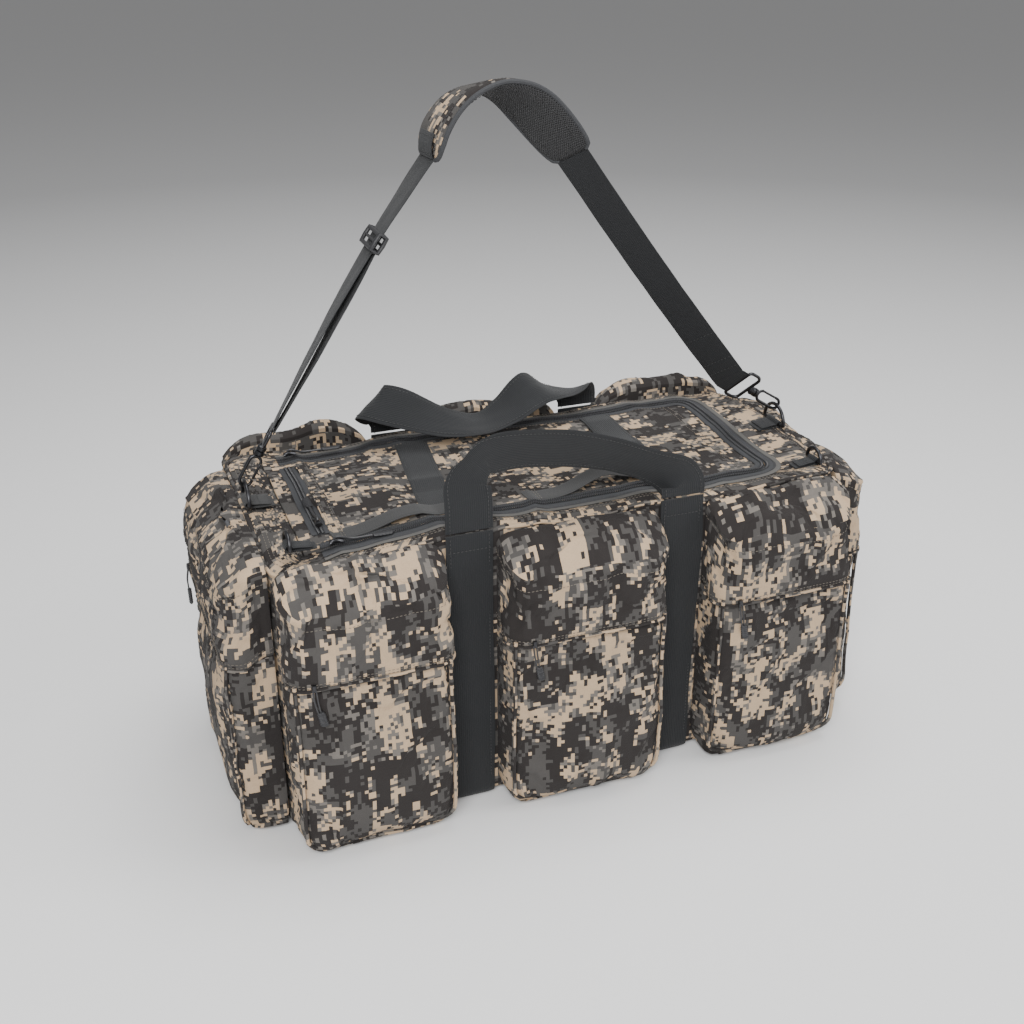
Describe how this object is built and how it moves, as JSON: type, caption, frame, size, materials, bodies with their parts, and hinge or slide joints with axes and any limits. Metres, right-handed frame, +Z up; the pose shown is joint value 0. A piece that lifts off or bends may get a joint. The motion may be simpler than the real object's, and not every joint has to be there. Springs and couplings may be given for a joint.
{
  "type": "duffel_bag",
  "caption": "Soft camouflage duffel bag with zipped lid, hooded side and end pockets, webbing carry handles on girth bands, and a clip-on padded shoulder strap",
  "frame": {"origin": "middle of the bag on the surface it stands on", "axes": "+X runs along the bag to its right end, +Y to the rear, +Z up; the front faces -Y"},
  "size_m": [0.75, 0.382, 0.7472],
  "materials": {
    "camouflage_cloth": "printed woven polyester, matt, tan, grey and charcoal block camouflage",
    "dark_webbing": "ribbed dark grey polypropylene webbing",
    "black_zip": "black coil zip, tape, sliders and grips",
    "black_plastic": "moulded black plastic",
    "black_metal": "black coated metal",
    "board": "stiff dark grey board"
  },
  "bodies": {
    "bag": {"base_board": "board", "deck_zip_half": "black_zip", "front_left_pocket": "camouflage_cloth", "front_middle_pocket": "camouflage_cloth", "front_right_pocket": "camouflage_cloth", "girth_band_left": "dark_webbing", "girth_band_right": "dark_webbing", "left_corner_tab": "dark_webbing", "left_end_pocket": "camouflage_cloth", "left_end_tab": "dark_webbing", "main_shell": "camouflage_cloth", "rear_left_pocket": "camouflage_cloth", "rear_middle_pocket": "camouflage_cloth", "rear_right_pocket": "camouflage_cloth", "right_corner_tab": "dark_webbing", "right_end_pocket": "camouflage_cloth", "right_end_tab": "dark_webbing"},
    "lid": {"lid_panel": "camouflage_cloth", "lid_zip_half": "black_zip", "lid_pocket_zip": "black_zip", "lid_band_left": "dark_webbing", "lid_band_right": "dark_webbing", "lash_loop_left": "dark_webbing", "lash_loop_right": "dark_webbing"},
    "shoulder_strap": {"left_hook": "black_metal", "left_hook_swivel": "black_metal", "strap_webbing_left": "dark_webbing", "strap_return": "dark_webbing", "strap_adjuster": "black_plastic", "shoulder_pad": "camouflage_cloth", "strap_webbing_right": "dark_webbing", "right_hook_swivel": "black_metal", "right_hook": "black_metal"},
    "lid_pocket_slider": {"lid_pocket_slider": "black_zip"},
    "front_left_hood": {"front_left_hood": "camouflage_cloth"},
    "front_left_zip_pull": {"front_left_zip_pull": "black_zip"},
    "front_middle_hood": {"front_middle_hood": "camouflage_cloth"},
    "front_middle_zip_pull": {"front_middle_zip_pull": "black_zip"},
    "front_right_hood": {"front_right_hood": "camouflage_cloth"},
    "front_right_zip_pull": {"front_right_zip_pull": "black_zip"},
    "rear_left_hood": {"rear_left_hood": "camouflage_cloth"},
    "rear_left_zip_pull": {"rear_left_zip_pull": "black_zip"},
    "rear_middle_hood": {"rear_middle_hood": "camouflage_cloth"},
    "rear_middle_zip_pull": {"rear_middle_zip_pull": "black_zip"},
    "rear_right_hood": {"rear_right_hood": "camouflage_cloth"},
    "rear_right_zip_pull": {"rear_right_zip_pull": "black_zip"},
    "left_end_hood": {"left_end_hood": "camouflage_cloth"},
    "left_end_zip_pull": {"left_end_zip_pull": "black_zip"},
    "right_end_hood": {"right_end_hood": "camouflage_cloth"},
    "right_end_zip_pull": {"right_end_zip_pull": "black_zip"},
    "front_main_slider": {"front_main_slider": "black_zip"},
    "rear_main_slider": {"rear_main_slider": "black_zip"},
    "front_handle": {"front_handle": "dark_webbing"},
    "rear_handle": {"rear_handle": "dark_webbing"},
    "left_end_ring": {"left_end_ring": "black_metal"},
    "right_end_ring": {"right_end_ring": "black_metal"},
    "left_corner_ring": {"left_corner_ring": "black_metal"},
    "right_corner_ring": {"right_corner_ring": "black_metal"},
    "left_hook_gate": {"left_hook_gate": "black_metal"},
    "right_hook_gate": {"right_hook_gate": "black_metal"}
  },
  "joints": [
    {"name": "lid_open", "type": "hinge", "parent": "bag", "child": "lid", "pos_m": [-0.28, 0, 0.3305], "axis": [0, -1, 0], "range_deg": [0, 90], "deforming": ["rear_handle"]},
    {"name": "lid_pocket_slider_slide", "type": "slide", "parent": "lid", "child": "lid_pocket_slider", "axis": [0, 1, 0], "range_m": [0, 0.0924]},
    {"name": "front_left_hood_open", "type": "hinge", "parent": "bag", "child": "front_left_hood", "pos_m": [-0.233, -0.1405, 0.318], "axis": [-1, 0, 0], "range_deg": [0, 90]},
    {"name": "front_left_zip_slide", "type": "slide", "parent": "bag", "child": "front_left_zip_pull", "axis": [1, 0, 0], "range_m": [0, 0.123]},
    {"name": "front_middle_hood_open", "type": "hinge", "parent": "bag", "child": "front_middle_hood", "pos_m": [0, -0.1405, 0.318], "axis": [-1, 0, 0], "range_deg": [0, 90]},
    {"name": "front_middle_zip_slide", "type": "slide", "parent": "bag", "child": "front_middle_zip_pull", "axis": [1, 0, 0], "range_m": [0, 0.133]},
    {"name": "front_right_hood_open", "type": "hinge", "parent": "bag", "child": "front_right_hood", "pos_m": [0.233, -0.1405, 0.318], "axis": [-1, 0, 0], "range_deg": [0, 90]},
    {"name": "front_right_zip_slide", "type": "slide", "parent": "bag", "child": "front_right_zip_pull", "axis": [1, 0, 0], "range_m": [0, 0.123]},
    {"name": "rear_left_hood_open", "type": "hinge", "parent": "bag", "child": "rear_left_hood", "pos_m": [-0.233, 0.1405, 0.318], "axis": [1, 0, 0], "range_deg": [0, 90]},
    {"name": "rear_left_zip_slide", "type": "slide", "parent": "bag", "child": "rear_left_zip_pull", "axis": [-1, 0, 0], "range_m": [0, 0.123]},
    {"name": "rear_middle_hood_open", "type": "hinge", "parent": "bag", "child": "rear_middle_hood", "pos_m": [0, 0.1405, 0.318], "axis": [1, 0, 0], "range_deg": [0, 90]},
    {"name": "rear_middle_zip_slide", "type": "slide", "parent": "bag", "child": "rear_middle_zip_pull", "axis": [-1, 0, 0], "range_m": [0, 0.133]},
    {"name": "rear_right_hood_open", "type": "hinge", "parent": "bag", "child": "rear_right_hood", "pos_m": [0.233, 0.1405, 0.318], "axis": [1, 0, 0], "range_deg": [0, 90]},
    {"name": "rear_right_zip_slide", "type": "slide", "parent": "bag", "child": "rear_right_zip_pull", "axis": [-1, 0, 0], "range_m": [0, 0.123]},
    {"name": "left_end_hood_open", "type": "hinge", "parent": "bag", "child": "left_end_hood", "pos_m": [-0.3205, 0, 0.318], "axis": [0, -1, 0], "range_deg": [-90, 0]},
    {"name": "left_end_zip_slide", "type": "slide", "parent": "bag", "child": "left_end_zip_pull", "axis": [0, -1, 0], "range_m": [0, 0.209]},
    {"name": "right_end_hood_open", "type": "hinge", "parent": "bag", "child": "right_end_hood", "pos_m": [0.3205, 0, 0.318], "axis": [0, -1, 0], "range_deg": [0, 90]},
    {"name": "right_end_zip_slide", "type": "slide", "parent": "bag", "child": "right_end_zip_pull", "axis": [0, 1, 0], "range_m": [0, 0.209]},
    {"name": "front_main_slider_slide", "type": "slide", "parent": "bag", "child": "front_main_slider", "axis": [1, 0, 0], "range_m": [0, 0.4]},
    {"name": "rear_main_slider_slide", "type": "slide", "parent": "bag", "child": "rear_main_slider", "axis": [1, 0, 0], "range_m": [0, 0.4]},
    {"name": "front_handle_swing", "type": "hinge", "parent": "bag", "child": "front_handle", "pos_m": [0, -0.14175, 0.3325], "axis": [-1, 0, 0], "range_deg": [-90, 8]},
    {"name": "rear_handle_swing", "type": "hinge", "parent": "bag", "child": "rear_handle", "pos_m": [0, 0.14175, 0.3325], "axis": [-1, 0, 0], "range_deg": [0, 60]},
    {"name": "left_ring_turn", "type": "hinge", "parent": "bag", "child": "left_end_ring", "pos_m": [-0.315, 0, 0.3353], "axis": [0, -1, 0], "range_deg": [0, 90]},
    {"name": "strap_swing", "type": "hinge", "parent": "left_end_ring", "child": "shoulder_strap", "pos_m": [-0.315, 0, 0.3353], "axis": [1, 0, 0], "range_deg": [-60, 60]},
    {"name": "right_ring_turn", "type": "hinge", "parent": "bag", "child": "right_end_ring", "pos_m": [0.315, 0, 0.3353], "axis": [0, -1, 0], "range_deg": [0, 85]},
    {"name": "left_corner_ring_turn", "type": "hinge", "parent": "bag", "child": "left_corner_ring", "pos_m": [-0.296, -0.116, 0.3353], "axis": [0, -1, 0], "range_deg": [-60, 60]},
    {"name": "right_corner_ring_turn", "type": "hinge", "parent": "bag", "child": "right_corner_ring", "pos_m": [0.296, -0.116, 0.3353], "axis": [0, -1, 0], "range_deg": [-60, 60]},
    {"name": "left_gate_open", "type": "hinge", "parent": "shoulder_strap", "child": "left_hook_gate", "pos_m": [-0.29858, 0, 0.3724], "axis": [0, 1, 0], "range_deg": [0, 20], "stiffness_Nm_per_rad": 0.02, "springref_deg": -11.46},
    {"name": "right_gate_open", "type": "hinge", "parent": "shoulder_strap", "child": "right_hook_gate", "pos_m": [0.30019, 0, 0.37398], "axis": [0, 1, 0], "range_deg": [0, 20], "stiffness_Nm_per_rad": 0.02, "springref_deg": -11.46}
  ],
  "couplings": [
    {"joint": "left_ring_turn", "follows": "lid_open", "ratio": 1},
    {"joint": "right_ring_turn", "follows": "lid_open", "ratio": 0.9}
  ]
}
